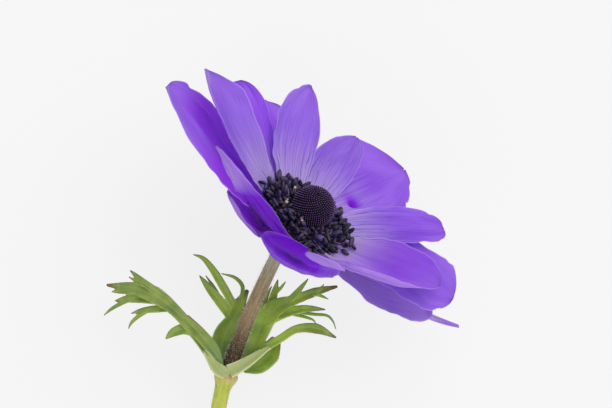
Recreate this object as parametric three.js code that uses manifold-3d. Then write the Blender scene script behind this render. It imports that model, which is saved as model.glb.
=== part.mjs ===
// A crown anemone, cut, lying on a surface: a nodding violet flower head on a bare stalk,
// three finely cut bracts in a whorl below it, and the rest of the stem.
// Millimetres, +Z up. The origin is under the middle of the whole flower, on the surface.
import * as THREE from 'three';
import { mergeVertices } from 'three/addons/utils/BufferGeometryUtils.js';
import Module from 'manifold-3d';

// Driving dimensions (mm, degrees)
const FLOWER_TILT = 57;          // the flower's axis, from the vertical
const FLOWER_HEADING = 50.3;     // the way it faces, from +X
const FLOWER_HEIGHT = 29.3;      // its base above the surface
const GAP = 0.3;                 // between neighbouring pieces
const TEPAL = { thickness: 0.6, tipHalfWidth: 0.5, clearance: 0.4, rows: 9 };
const RECEPTACLE = { radius: 3.2, foot: 1.9, bottom: -2.2, top: 3.6, sides: 14 };
const DOME = { radius: 4.7, height: 8.0, neck: 2.7, rows: 17, columns: 30, relief: 0.24 };
const STAMENS = { count: 64, filament: 0.29, anther: 0.62, inner: 8, outer: 12.6, rise: 6, seed: 7 };
const STEM = { radius: 1.75, collar: 2.15, collarLength: 0.025, sides: 10, steps: 30, node: 0.327 };
const BRACT = { thickness: 0.7, tipHalfWidth: 0.25, cup: 18 };

const wasm = await Module();
wasm.setup();

const colours = {
  tepal: { color: 0x8a57d6, roughness: 0.6 },
  stamens: { color: 0x1b1430, roughness: 0.7 },
  pistil: { color: 0x201332, roughness: 0.8 },
  stem: { color: 0x8f8a5a, roughness: 0.6 },
  bract: { color: 0x6f9a2e, roughness: 0.6 },
};

const rad = THREE.MathUtils.degToRad;

function randomFrom(seed) {
  let state = seed;
  return () => {
    state = (state * 1664525 + 1013904223) % 4294967296;
    return state / 4294967296;
  };
}

// ---- Solids -----------------------------------------------------------------------------

function weld(positions, indices) {
  const geometry = new THREE.BufferGeometry();
  geometry.setAttribute('position', new THREE.Float32BufferAttribute(positions, 3));
  geometry.setIndex(indices);
  return mergeVertices(geometry, 1e-4);
}

function solidOf(geometry) {
  return new wasm.Manifold(new wasm.Mesh({
    numProp: 3,
    vertProperties: new Float32Array(geometry.attributes.position.array),
    triVerts: new Uint32Array(geometry.index.array),
  }));
}

function geometryOf(solid) {
  const mesh = solid.getMesh();
  return weld(Array.from(mesh.vertProperties), Array.from(mesh.triVerts));
}

function union(geometries) {
  return geometryOf(geometries.map(solidOf).reduce((all, one) => all.add(one)));
}

// A closed skin over a stack of rings of points, each with the same number of points.
// Each four-sided patch is split from its first corner, or from its second where turned says so.
function skin(rings, turned = () => false) {
  const size = rings[0].length;
  const positions = rings.flat().flatMap((point) => point.toArray());
  const indices = [];
  for (let row = 0; row + 1 < rings.length; row++) {
    for (let side = 0; side < size; side++) {
      const a = row * size + side;
      const b = row * size + (side + 1) % size;
      if (turned(row, side)) indices.push(a, b, a + size, b, b + size, a + size);
      else indices.push(a, b, b + size, a, b + size, a + size);
    }
  }
  const last = (rings.length - 1) * size;
  for (let side = 1; side + 1 < size; side++) {
    indices.push(0, side + 1, side, last, last + side, last + side + 1);
  }
  return weld(positions, indices);
}

// ---- Blades: a frame walks the midline, +X along it, +Y across, +Z out of the upper face --

// Walks a frame along a curved midline. pitch, yaw and roll are the whole turns it makes.
function walk(start, { length, rows, pitch = 0, yaw = 0, roll = 0 }) {
  const steps = 4;
  const walker = new THREE.Object3D();
  walker.matrix.copy(start);
  walker.matrix.decompose(walker.position, walker.quaternion, walker.scale);
  const frames = [];
  let reached = 0;
  for (let row = 0; row <= rows; row++) {
    const along = (row / rows) * (1.12 - 0.12 * row / rows);
    const part = (along - reached) / steps;
    for (let step = 0; row > 0 && step < steps; step++) {
      walker.rotateY(-rad(pitch) * part);
      walker.rotateZ(rad(yaw) * part);
      walker.rotateX(rad(roll) * part);
      walker.translateX(length * part);
    }
    reached = along;
    walker.updateMatrix();
    frames.push({ matrix: walker.matrix.clone(), along });
  }
  return frames;
}

// A cross-section of half-width 1: columns of { y, z, lean }, curved by cup, with a curled edge.
// The half on its left can have a cup and a share of the width of its own.
function section(columns, cup, { curl = { side: 1, start: 1, angle: 0 }, left = {} } = {}) {
  const { cup: leftCup = cup, share = 1 } = left;
  const angle = (v) => {
    const past = Math.max(0, curl.side * v - curl.start) / (1.001 - curl.start);
    return rad(v > 0 ? leftCup : cup) * v + curl.side * rad(curl.angle) * past;
  };
  const points = [];
  for (const side of [-1, 1]) {
    let y = 0;
    let z = 0;
    let before = 0;
    for (let column = 1; column <= columns / 2; column++) {
      const v = side * Math.sin(Math.PI / columns * column);
      const lean = angle((v + before) / 2);
      const step = (v - before) * (side > 0 ? share : 1);
      y += step * Math.cos(lean);
      z += step * Math.sin(lean);
      before = v;
      points.push({ v, y, z, lean: angle(v) });
    }
  }
  points.push({ v: 0, y: 0, z: 0, lean: 0 });
  return points.sort((one, other) => one.v - other.v);
}

// A thin closed blade on the frames: half(u) is its half-width, profile(u) its cross-section.
function blade(frames, half, profile, thickness) {
  const positions = [];
  const indices = [];
  const columns = profile(0).length;
  for (const side of [1, -1]) {
    for (const { matrix, along } of frames) {
      for (const { y, z, lean } of profile(along)) {
        const off = side * thickness / 2;
        const point = new THREE.Vector3(0, y * half(along), z * half(along));
        point.y -= off * Math.sin(lean);
        point.z += off * Math.cos(lean);
        positions.push(...point.applyMatrix4(matrix).toArray());
      }
    }
  }
  const under = frames.length * columns;
  const quad = (a, b, c, d) => indices.push(a, b, c, a, c, d);
  for (let row = 0; row + 1 < frames.length; row++) {
    for (let column = 0; column + 1 < columns; column++) {
      const a = row * columns + column;
      const b = a + columns;
      quad(a, b, b + 1, a + 1);
      indices.push(a + under, b + 1 + under, b + under, a + under, a + 1 + under, b + 1 + under);
    }
    for (const edge of [0, columns - 1]) {
      const a = row * columns + edge;
      const b = a + columns;
      if (edge === 0) quad(a, a + under, b + under, b);
      else quad(a, b, b + under, a + under);
    }
  }
  for (let column = 0; column + 1 < columns; column++) {
    const root = column;
    const tip = (frames.length - 1) * columns + column;
    quad(root, root + 1, root + 1 + under, root + under);
    quad(tip, tip + under, tip + 1 + under, tip + 1);
  }
  return weld(positions, indices);
}

// ---- Tepals, in the flower's frame: +Z is its axis, azimuths turn from +X towards +Y ------

// name: azimuth, length, width, rise at the root, rise at the tip, height of the root,
// side turn, roll, cup, where it is widest, how blunt its tip is, half-width of its claw
const tepals = {
  outer_1: [193, 41.5, 27.6, 15, 20, -0.1, -8, 12, 13, 0.62, 0.5, 1.8],
  outer_2: [159.1, 34.1, 10.6, 17, 9.9, 1, -21.6, -15.6, 20.5, 0.77, 0.56, 1.8],
  outer_3: [125.5, 38.6, 15.9, 15, -13.5, -0.8, -1.6, -6.7, 13.7, 0.67, 0.41, 1.9],
  outer_4: [86.5, 38.2, 23.6, 16, 0, 0.5, -24, -4, 9, 0.59, 0.64, 1.8],
  outer_5: [16.1, 35.8, 27.4, 23.3, 0.6, 0.4, -8.2, -10.9, 8.2, 0.84, 0.52, 1.8],
  outer_6: [18.2, 34.6, 26.2, 7.4, -16.3, -0.6, 32.6, 7.1, 7.1, 0.53, 0.3, 2],
  outer_7: [-132.1, 19.2, 12.7, 2.7, 39.4, -2.2, -23.6, 0, 29.5, 0.58, 0.39, 1.6],
  inner_1: [192.2, 38.5, 21.7, 17.3, 29.7, 2, -36.5, 15.7, 50, 0.8, 0.94, 1.7],
  inner_2: [137, 32, 12.4, 14, 36, 2.4, -26, -2, 20, 0.64, 0.76, 1.8],
  inner_3: [97.4, 31.4, 10.7, 20.3, 2.9, 1.4, -3.9, -26.8, 23, 0.57, 0.61, 1.6],
  inner_4: [42, 34.2, 10.5, 22, 4, 1.3, 5, 10, 28, 0.59, 0.36, 1.7],
  inner_5: [-12.6, 32.8, 27.4, 17.4, 31, 2.1, 16, -6, 19.5, 0.65, 0.61, 1.8],
  inner_6: [-73.5, 33.3, 20.9, 2.6, 72.3, -2.3, -8.7, 6, 31.9, 0.8, 0.64, 2.3],
  inner_7: [-86.6, 40.3, 12.4, 26.5, 68.2, -1.1, -98.2, 9.1, 5.8, 0.45, 0.98, 2.9],
};
// Where the half on a tepal's left differs: its cup, and its share of the other half's width
const leftHalves = { inner_1: { cup: 25, share: 0.71 } };
// A torn margin left one tepal with a narrow strip at its tip.
const tails = { outer_6: { side: -8, turn: -4, length: 11, half: 0.8, pitch: 10 } };
// One edge rolls inwards: past start, by angle, over the stretch from..to of the length.
const curledEdges = { inner_5: { side: -1, start: 0.78, angle: 95, from: 0.25, to: 0.72 } };

function tepalHalfWidth(width, widest, blunt, claw) {
  const most = width / 2;
  return (u) => {
    if (u < widest) return claw + (most - claw) * Math.sin(u / widest * Math.PI / 2) ** 1.2;
    const past = (u - widest) / (1 - widest);
    return Math.max(TEPAL.tipHalfWidth, most * Math.max(0, 1 - past ** 2) ** blunt);
  };
}

function tepal(name) {
  const [azimuth, length, width, rise, tipRise, height, yaw, roll, cup, widest, blunt, claw] =
    tepals[name];
  const root = new THREE.Object3D();
  root.rotateZ(rad(azimuth));
  root.translateX(RECEPTACLE.radius + TEPAL.clearance);
  root.translateZ(height);
  root.rotateY(-rad(rise));
  root.updateMatrix();
  const columns = width > 15 ? 8 : 6;
  const frames = walk(
    root.matrix, { length, rows: TEPAL.rows, pitch: tipRise - rise, yaw, roll });
  const curl = curledEdges[name];
  const profile = (u) => {
    if (!curl) return section(columns, cup, { left: leftHalves[name] });
    const fade = THREE.MathUtils.clamp(Math.min((u - curl.from) / 0.15, (curl.to - u) / 0.1), 0, 1);
    return section(columns, cup, { curl: { ...curl, angle: curl.angle * fade } });
  };
  const sheet = blade(frames, tepalHalfWidth(width, widest, blunt, claw), profile, TEPAL.thickness);
  const tail = tails[name];
  if (!tail) return sheet;
  const from = new THREE.Matrix4().makeRotationZ(rad(tail.turn)).setPosition(0, tail.side, 0);
  const start = frames[frames.length - 2].matrix.clone().multiply(from);
  const strip = walk(start, { ...tail, rows: 4 });
  return union([sheet, blade(strip, () => tail.half, () => section(2, 10), TEPAL.thickness)]);
}

// ---- Pistil: a dome of many small carpels, in staggered rows of low bumps -----------------

function pistil() {
  const { radius, height, neck, rows, columns, relief } = DOME;
  const below = Math.PI - Math.asin(neck / radius);
  const base = RECEPTACLE.top + GAP;
  const ring = (around, z) => Array.from({ length: columns }, (_, column) => {
    const turn = 2 * Math.PI * column / columns;
    return new THREE.Vector3(around * Math.cos(turn), around * Math.sin(turn), z);
  });
  const rings = [ring(neck, base)];
  for (let row = 0; row < rows; row++) {
    const polar = below * (1 - (row + 0.4) / rows);
    const raised = ring(1, 0).map((point, column) => {
      const reach = radius + ((row + column) % 2 ? relief : 0);
      return new THREE.Vector3(
        point.x * reach * Math.sin(polar), point.y * reach * Math.sin(polar),
        height + reach * Math.cos(polar));
    });
    rings.push(raised);
  }
  return skin(rings, (row, column) => (row + column) % 2 === 0);
}

// ---- Receptacle and stamens: filaments fan out from under the pistil ----------------------

function receptacle() {
  const { radius, foot, bottom, top, sides } = RECEPTACLE;
  const outline = [[0, bottom], [foot, bottom], [radius, bottom + 1.3], [radius, top - 0.8],
    [radius - 0.6, top], [0, top]].map(([x, y]) => new THREE.Vector2(x, y));
  const lathe = new THREE.LatheGeometry(outline, sides);
  lathe.deleteAttribute('normal');
  lathe.deleteAttribute('uv');
  lathe.rotateX(Math.PI / 2);
  return mergeVertices(lathe, 1e-4);
}

// One stamen as a curved tube that swells into its anther; swell widens it all round.
function stamen({ turn, reach, rise }, swell = 0) {
  const plane = new THREE.Vector3(Math.cos(turn), Math.sin(turn), 0);
  const at = (around, z) => plane.clone().multiplyScalar(around).setZ(z);
  const curve = new THREE.QuadraticBezierCurve3(
    at(2.5, RECEPTACLE.top - 0.4), at(0.58 * reach, 0.2 * rise + 3.0), at(reach, rise));
  const radii = [[0.02, STAMENS.filament], [0.45, STAMENS.filament], [0.76, STAMENS.filament],
    [0.84, STAMENS.anther], [0.96, STAMENS.anther], [1.0, 0.5 * STAMENS.anther]];
  const sides = 4;
  const across = new THREE.Vector3(-plane.y, plane.x, 0);
  return skin(radii.map(([place, radius]) => {
    const centre = curve.getPoint(place);
    const up = curve.getTangent(place).cross(across);
    return Array.from({ length: sides }, (_, side) => {
      const angle = 2 * Math.PI * (side + 0.5) / sides;
      return centre.clone()
        .addScaledVector(across, (radius + swell) * Math.cos(angle))
        .addScaledVector(up, (radius + swell) * Math.sin(angle));
    });
  }));
}

// Stamens are spread by the golden angle. One that would touch a neighbour is lifted clear,
// or left out where there is no room for it.
function stamens(neighbours) {
  const random = randomFrom(STAMENS.seed);
  const golden = Math.PI * (3 - Math.sqrt(5));
  const { count, inner, outer, rise } = STAMENS;
  const pieces = [receptacle()];
  for (let index = 0; index < count; index++) {
    const reach = inner + (outer - inner) * Math.sqrt((index + 0.5) / count);
    const plan = { turn: index * golden, reach, rise: rise + 1.5 * random() };
    const touches = () => {
      const grown = solidOf(stamen(plan, GAP / 2));
      return neighbours.some((other) => grown.intersect(other).volume() > 0);
    };
    for (let lift = 0; lift < 10 && touches(); lift++) {
      plan.rise += 0.3;
      plan.reach -= 0.1;
    }
    if (!touches()) pieces.push(stamen(plan));
  }
  return union(pieces);
}

// ---- Stem: nods over at the top, swells at the whorl of bracts, and lies along the surface -

// Its route from under the flower to the cut end, from the flower's base, heights above ground
const stemRoute = [
  [-4.1, -6.3, 24.4], [-6, -10.1, 22.2], [-9.6, -18, 19.0], [-12.7, -25.9, 16.6],
  [-15.1, -32.2, 14.8], [-17, -40, 12.6], [-19.8, -63, 7.4], [-22.6, -84, 3.7], [-25, -103.5, 1.6],
];

function stemCurve(flower) {
  const top = new THREE.Vector3(0, 0, RECEPTACLE.bottom - GAP).applyMatrix4(flower);
  const route = stemRoute.map(([x, y, z]) => new THREE.Vector3(x, y, z));
  return new THREE.CatmullRomCurve3([top, ...route], false, 'centripetal');
}

function stem(curve) {
  const { radius, collar, collarLength, sides, steps, node } = STEM;
  const frames = curve.computeFrenetFrames(steps);
  const rings = frames.tangents.map((_, step) => {
    const place = step / steps;
    const swelling = Math.exp(-(((place - node) / collarLength) ** 2));
    const around = radius + (collar - radius) * swelling;
    const centre = curve.getPointAt(place);
    return Array.from({ length: sides }, (__, side) => {
      const turn = 2 * Math.PI * side / sides;
      return centre.clone()
        .addScaledVector(frames.normals[step], around * Math.cos(turn))
        .addScaledVector(frames.binormals[step], around * Math.sin(turn));
    });
  });
  return skin(rings);
}

// ---- Bracts: cut leaves, each a main blade with narrower lobes grown from it --------------

// Midlines from the stem's node; half is the half-width, one value or several along a blade.
const bracts = {
  bract_left: [
    { half: [1.3, 1.4, 1.3, 1.5, 2.2, 1.3, 0.3], path: [[-2.9, 0.6, -0.4], [-4.7, 4.5, 0.8],
      [-8.3, 9.2, 2.6], [-12.1, 13.6, 4.2], [-16.5, 16.9, 4.6], [-21.5, 18.6, 3.4], [-27.4, 19.3, 0.8]] },
    { half: 1.0, path: [[-15, 17, 4.6], [-19, 19.8, 4.6], [-22.1, 22.7, 3.6]] },
    { half: 0.5, path: [[-18, 18.8, 4.4], [-20.5, 20.1, 4.2], [-22.4, 21.2, 3.6]] },
    { half: 0.9, path: [[-19.5, 18.3, 3.8], [-23.5, 18, 2.6], [-26.3, 17.8, 1.5]] },
    { half: 1.3, path: [[-14, 15.6, 4.3], [-18.5, 16.3, 3.9], [-22.5, 16.2, 2.6], [-25.6, 15.7, 1.2]] },
    { half: 0.5, path: [[-21.5, 16.2, 2.8], [-24, 15.2, 1.6], [-26.3, 13.9, 0], [-28.1, 12.4, -1.8]] },
    { half: 0.9, path: [[-12.5, 14, 4], [-16, 13.9, 3.6], [-19.5, 13.5, 2.6], [-21.9, 12.9, 1.6]] },
    { half: 0.5, path: [[-17.8, 13.6, 3], [-20, 12.4, 2], [-21.7, 10.9, 0.8], [-22.5, 9.4, -0.8]] },
    { half: 1.3, path: [[-7.7, 8.6, 2.3], [-10, 9.3, 2.6], [-12.3, 8.6, 2.2], [-14.1, 7.1, 1.2]] },
  ],
  bract_right: [
    { half: [1.4, 2.2, 2.9, 2.4, 1.2, 1.1, 0.3], path: [[3.2, 0.4, -1.4], [5.7, 5.6, -1.2],
      [7.7, 10.2, -0.4], [10.9, 14, 1.2], [15.5, 16, 2.4], [20.1, 17.8, 2.8], [24.8, 19, 2.2]] },
    { half: 0.8, path: [[12, 14.3, 1.4], [14.7, 16.6, 2.4], [16.7, 18.9, 3], [18.2, 20.8, 3.2]] },
    { half: 0.4, path: [[19.3, 17.4, 2.8], [20.8, 18.4, 3.2], [21.7, 19.5, 3.4]] },
    { half: 0.4, path: [[19, 17.4, 2.7], [20.9, 16.9, 2.6], [22.8, 16.1, 2]] },
    { half: 1.2, path: [[8.5, 10.6, 0.2], [13, 12.9, 1.6], [17.5, 13.9, 2.2], [22.1, 13.8, 1.8]] },
    { half: 0.4, path: [[15, 13.2, 1.8], [19.5, 12.7, 1.2], [22.6, 12.3, 0.4], [23.8, 11, -0.4],
      [24.4, 9.3, -1.4]] },
    { half: 0.4, path: [[14, 12.8, 1.5], [17.7, 12, 0.4], [19.5, 11.2, -0.6], [19.9, 10.1, -1.4]] },
    { half: [0.9, 1, 1, 1, 1.3, 0.2], path: [[3.3, 0.8, -1.4], [7.7, 4.5, 0.9], [12, 7.2, 2.6],
      [15.5, 9.3, 3.3], [20, 9.4, 3.1], [24.5, 7.4, 1.8]] },
    { half: [1.2, 2.8, 2.9, 1.2], path: [[3.4, 0.4, -1.5], [6.9, 1.5, -1.1], [9.1, 3.4, -0.6],
      [11.1, 7.2, -0.2]] },
    { half: 1.1, path: [[8.1, 10.8, -0.2], [9.7, 14.5, 0.2], [10.6, 17.8, 0.2], [11.3, 20.6, -0.2]] },
    { half: 0.4, path: [[10.6, 17.2, 0.2], [12.1, 18.8, 0.4], [13.1, 20.2, 0.4]] },
    { half: 0.8, path: [[7.1, 9.8, -0.6], [7.9, 13.6, -1.1], [8.7, 16.6, -1.4], [9.9, 19.1, -1.4]] },
  ],
  bract_back: [
    { half: [1.5, 2.5, 2.5, 1.7, 1.6, 0.4], path: [[-0.6, 1.2, -3.1], [-1.7, 5, -3.3],
      [-0.7, 8.8, -2.7], [1.5, 12.4, -2], [2.9, 15.6, -1.7], [4.5, 18.2, -2]] },
    { half: 1.2, path: [[0.5, 12.2, -2], [-1.7, 15.4, -1.5], [-4.3, 18.7, -1.3], [-6.5, 21.5, -1.8]] },
    { half: 0.5, path: [[-0.9, 14.4, -1.7], [-3.1, 18.6, -2.3], [-5.1, 21.5, -3]] },
    { half: 1.0, path: [[1.5, 14.4, -1.8], [-1.1, 19, -0.6], [-3.7, 23.2, 0], [-5.7, 25.4, -0.4],
      [-7.9, 26.2, -1.6]] },
    { half: 0.5, path: [[2.9, 16, -1.7], [3.3, 19, -0.8], [1.7, 20.9, -0.4], [-1.6, 21.9, -0.8]] },
  ],
};
const bractFaces = {
  bract_left: [0.25, 0.15, 1], bract_right: [-0.15, 0.25, 1], bract_back: [0.1, -0.2, 1],
};

function along(values, place) {
  const at = Math.min(place * (values.length - 1), values.length - 1.001);
  const index = Math.floor(at);
  return THREE.MathUtils.lerp(values[index], values[index + 1], at - index);
}

function lobe({ half, path }, face) {
  const curve = new THREE.CatmullRomCurve3(path.map((point) => new THREE.Vector3(...point)));
  const rows = Array.isArray(half) ? 9 : 5;
  const frames = Array.from({ length: rows + 1 }, (_, row) => {
    const place = row / rows;
    const ahead = curve.getTangent(place);
    const up = face.clone().addScaledVector(ahead, -face.dot(ahead)).normalize();
    const matrix = new THREE.Matrix4().makeBasis(ahead, up.clone().cross(ahead), up);
    return { matrix: matrix.setPosition(curve.getPoint(place)), along: place };
  });
  const lance = (place) => Math.max(
    BRACT.tipHalfWidth, half * Math.sin(Math.PI * (0.25 + 0.75 * place)) ** 0.7);
  const width = Array.isArray(half) ? (place) => along(half, place) : lance;
  return blade(frames, width, () => section(2, BRACT.cup), BRACT.thickness);
}

function bract(name) {
  const face = new THREE.Vector3(...bractFaces[name]).normalize();
  return union(bracts[name].map((one) => lobe(one, face)));
}

// ---- The whole flower ---------------------------------------------------------------------

const anemone = new THREE.Group();
const flower = new THREE.Group();
const whorl = new THREE.Group();
anemone.add(flower, whorl);

function add(group, name, geometry, look) {
  const mesh = new THREE.Mesh(geometry, new THREE.MeshStandardMaterial({ ...look, metalness: 0 }));
  mesh.name = name;
  group.add(mesh);
  return mesh;
}

// The flower's axis leans over; its own +X stays level.
function flowerPlace() {
  const tilt = rad(FLOWER_TILT);
  const heading = rad(FLOWER_HEADING);
  const axis = new THREE.Vector3(
    Math.sin(tilt) * Math.cos(heading), Math.sin(tilt) * Math.sin(heading), Math.cos(tilt));
  const level = new THREE.Vector3(Math.sin(heading), -Math.cos(heading), 0);
  const place = new THREE.Matrix4().makeBasis(level, axis.clone().cross(level), axis);
  return place.setPosition(0, 0, FLOWER_HEIGHT);
}

// Cuts away what is below the surface, so that a low edge rests on a small flat spot.
function restOnSurface(mesh) {
  mesh.updateWorldMatrix(true, false);
  const ground = new THREE.BoxGeometry(400, 400, 20).translate(0, 0, -10);
  ground.deleteAttribute('normal');
  ground.deleteAttribute('uv');
  ground.applyMatrix4(mesh.matrixWorld.clone().invert());
  mesh.geometry = geometryOf(solidOf(mesh.geometry).subtract(solidOf(mergeVertices(ground, 1e-4))));
}

flowerPlace().decompose(flower.position, flower.quaternion, flower.scale);
flower.updateMatrix();

const heart = add(flower, 'pistil', pistil(), colours.pistil);
const petals = Object.keys(tepals).map(
  (name) => add(flower, `tepal_${name}`, tepal(name), colours.tepal));
const neighbours = [heart, ...petals].map((mesh) => solidOf(mesh.geometry));
add(flower, 'receptacle_stamens', stamens(neighbours), colours.stamens);

const route = stemCurve(flower.matrix);
const stalk = add(anemone, 'stem', stem(route), colours.stem);
whorl.position.copy(route.getPointAt(STEM.node));
for (const name of Object.keys(bracts)) add(whorl, name, bract(name), colours.bract);

for (const mesh of [...petals, stalk]) restOnSurface(mesh);

const bounds = new THREE.Box3().setFromObject(anemone, true);
const middle = bounds.getCenter(new THREE.Vector3());
anemone.position.set(-middle.x, -middle.y, 0);
anemone.updateMatrixWorld(true);

export default anemone;
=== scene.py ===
"""The looks of a cut crown anemone that lies on a surface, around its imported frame.

Shapes are worked out in millimetres and turned into metres when a mesh is made. The flower's
pieces are laid out in its own frame: +Z is its axis, azimuths turn from +X towards +Y, and its
base is the origin. A blade's points carry the attribute "blade": (how far along it is from 0 to
1, how far across from -1 to 1, 1 on its upper face and 0 on its lower one). The stamens, the stem
and the bracts give the last two values meanings of their own.
"""

import math
import random

import bpy
import numpy as np
from mathutils import Matrix, Vector


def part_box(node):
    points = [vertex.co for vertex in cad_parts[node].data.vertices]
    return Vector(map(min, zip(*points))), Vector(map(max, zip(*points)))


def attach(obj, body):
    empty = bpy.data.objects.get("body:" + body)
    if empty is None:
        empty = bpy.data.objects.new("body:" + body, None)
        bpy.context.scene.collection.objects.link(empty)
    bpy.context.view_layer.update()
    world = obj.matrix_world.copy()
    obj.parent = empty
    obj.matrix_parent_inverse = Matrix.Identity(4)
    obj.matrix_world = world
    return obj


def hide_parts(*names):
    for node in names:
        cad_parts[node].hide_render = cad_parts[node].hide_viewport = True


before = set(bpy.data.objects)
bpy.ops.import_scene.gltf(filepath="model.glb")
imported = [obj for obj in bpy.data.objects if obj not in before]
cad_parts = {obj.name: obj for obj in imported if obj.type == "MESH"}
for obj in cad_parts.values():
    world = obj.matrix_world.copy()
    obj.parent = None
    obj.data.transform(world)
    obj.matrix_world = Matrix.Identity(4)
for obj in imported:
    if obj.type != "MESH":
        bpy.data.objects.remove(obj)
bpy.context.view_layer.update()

MM = 0.001
FLOWER_TILT = math.radians(57)
FLOWER_HEADING = math.radians(50.3)
RECEPTACLE_RADIUS = 3.2
DOME_RADIUS = 4.7
DOME_HEIGHT = 8.0                     # its centre above the flower's base
SHEET = 0.30                          # a tepal's thickness at its middle
RIM = 0.10                            # and at its margin
VEINS_PER_MM = 0.55                   # across half of a tepal
SURFACE = 0.02                        # the least height of a point above the ground
GOLDEN_ANGLE = math.pi * (3 - math.sqrt(5))


# ---- Places, from the frame ------------------------------------------------------------------

def flower_place():
    """The flower's frame: its axis leans over and its own +X is level."""
    axis = Vector((
        math.sin(FLOWER_TILT) * math.cos(FLOWER_HEADING),
        math.sin(FLOWER_TILT) * math.sin(FLOWER_HEADING),
        math.cos(FLOWER_TILT)))
    level = Vector((math.sin(FLOWER_HEADING), -math.cos(FLOWER_HEADING), 0))
    low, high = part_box("pistil")
    base = (low + high) / 2 / MM - axis * DOME_HEIGHT
    turn = Matrix((level, axis.cross(level), axis)).transposed().to_4x4()
    return Matrix.Translation(base) @ turn


FLOWER = flower_place()
BASE = FLOWER.translation


# ---- Meshes ----------------------------------------------------------------------------------

def mesh_piece(name, points, faces, blade=None, material=None):
    """A mesh object from points in millimetres, with the blade attribute if it is given."""
    mesh = bpy.data.meshes.new(name)
    mesh.from_pydata((np.asarray(points, float) * MM).tolist(), [], faces)
    if blade is not None:
        layer = mesh.attributes.new("blade", "FLOAT_VECTOR", "POINT")
        layer.data.foreach_set("vector", np.asarray(blade, np.float32).ravel())
    mesh.polygons.foreach_set("use_smooth", [True] * len(mesh.polygons))
    mesh.update()
    piece = bpy.data.objects.new(name, mesh)
    bpy.context.collection.objects.link(piece)
    if material:
        mesh.materials.append(material)
    return piece


def dress(piece, node):
    """The piece rides on the one body and stands for a CAD node."""
    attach(piece, "root")
    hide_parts(node)


def moved(points, matrix):
    """Points, one a row, through a matrix."""
    turn = np.array(matrix)
    return np.asarray(points) @ turn[:3, :3].T + turn[:3, 3]


def join(parts):
    """One (points, faces, blade) from several."""
    points, faces, blades, count = [], [], [], 0
    for own_points, own_faces, own_blade in parts:
        points.append(own_points)
        blades.append(own_blade)
        faces += [tuple(index + count for index in face) for face in own_faces]
        count += len(own_points)
    return np.vstack(points), faces, np.vstack(blades)


def smoothstep(low, high, value):
    """Rises smoothly from 0 at low to 1 at high, or falls if high is the smaller."""
    share = np.clip((value - low) / (high - low), 0, 1)
    return share * share * (3 - 2 * share)


def bump(value, centre, spread):
    """1 at the centre, fading to both sides."""
    return np.exp(-((value - centre) / spread) ** 2)


def wobble(seed, *scaled):
    """A smooth wandering value near -1..1 over one or two coordinates, the same for each seed."""
    draw = random.Random(seed)
    total = 0
    for step in range(1, 5):
        phase = sum(value * draw.uniform(0.6, 1.4) * step for value in scaled)
        total = total + np.sin(phase * 2 * math.pi + draw.uniform(0, 6.28)) / step
    return total / 2


# ---- Blades: a frame walks the midline, +X along it, +Y across, +Z out of the upper face -------

def walk(start, length, rows, pitch=0, yaw=0, roll=0):
    """The frames along a curved midline, closer together towards its end.

    pitch, yaw and roll are the whole turns, in degrees.
    """
    place = start.copy()
    frames = [(place.copy(), 0.0)]
    reached = 0.0
    for row in range(1, rows + 1):
        along = row / rows * (1.12 - 0.12 * row / rows)
        part = along - reached
        place = place @ Matrix.Rotation(-math.radians(pitch) * part, 4, "Y")
        place = place @ Matrix.Rotation(math.radians(yaw) * part, 4, "Z")
        place = place @ Matrix.Rotation(math.radians(roll) * part, 4, "X")
        place = place @ Matrix.Translation((length * part, 0, 0))
        frames.append((place.copy(), along))
        reached = along
    return frames


def section(across, cup, curl=(1, 1, 0), left=None):
    """A cross-section of half-width 1 as (y, z, lean), curved by cup, with a curled edge.

    left is the left half's own cup and its share of the other half's width.
    """
    side, start, angle = curl
    left_cup, share = left or (cup, 1)
    past = np.maximum(0, side * across - start) / (1.001 - start)
    lean = np.radians(np.where(across > 0, left_cup, cup)) * across
    lean = lean + side * np.radians(angle) * past
    middle = len(across) // 2
    step = np.diff(across) * np.where(across[1:] > 0, share, 1)
    half_lean = (lean[1:] + lean[:-1]) / 2
    y = np.concatenate([[0], np.cumsum(np.cos(half_lean) * step)])
    z = np.concatenate([[0], np.cumsum(np.sin(half_lean) * step)])
    return y - y[middle], z - z[middle], lean


def blade(frames, across, shape, half, thickness, lift=None):
    """A thin closed blade: (points, faces, blade attribute).

    shape(u) is its cross-section, half(u, v) its half-width, thickness(u, v) and lift(u, v) how
    far its middle stands off the plain sheet.
    """
    upper, lower, marks = [], [], []
    for matrix, u in frames:
        y, z, lean = shape(u)
        wide = half(u, across)
        raised = lift(u, across) if lift else 0
        thick = thickness(u, across) / 2
        for rows, offset in ((upper, raised + thick), (lower, raised - thick)):
            flat = np.stack([
                0 * y, y * wide - offset * np.sin(lean), z * wide + offset * np.cos(lean)], 1)
            rows.append(moved(flat, matrix))
        marks.append(np.stack([u + 0 * y, across, 0 * y], 1))
    points = np.vstack(upper + lower)
    marks = np.vstack(marks)
    marks = np.vstack([marks + (0, 0, 1), marks])
    columns, rows = len(across), len(frames)
    under = rows * columns
    faces = []
    for row in range(rows - 1):
        for column in range(columns - 1):
            a = row * columns + column
            b = a + columns
            faces.append((a, b, b + 1, a + 1))
            faces.append((a + under, a + 1 + under, b + 1 + under, b + under))
        left, right = row * columns, (row + 1) * columns - 1
        faces.append((left, left + under, left + columns + under, left + columns))
        faces.append((right, right + columns, right + columns + under, right + under))
    for column in range(columns - 1):
        tip = (rows - 1) * columns + column
        faces.append((column, column + 1, column + 1 + under, column + under))
        faces.append((tip, tip + under, tip + 1 + under, tip + 1))
    return points, faces, marks


# ---- Materials -------------------------------------------------------------------------------

def rgb(text):
    """A colour written as six hex digits, as the linear colour that shaders take."""
    parts = [int(text[place:place + 2], 16) / 255 for place in (0, 2, 4)]
    linear = [part / 12.92 if part <= 0.04045 else ((part + 0.055) / 1.055) ** 2.4 for part in parts]
    return (*linear, 1.0)


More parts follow.
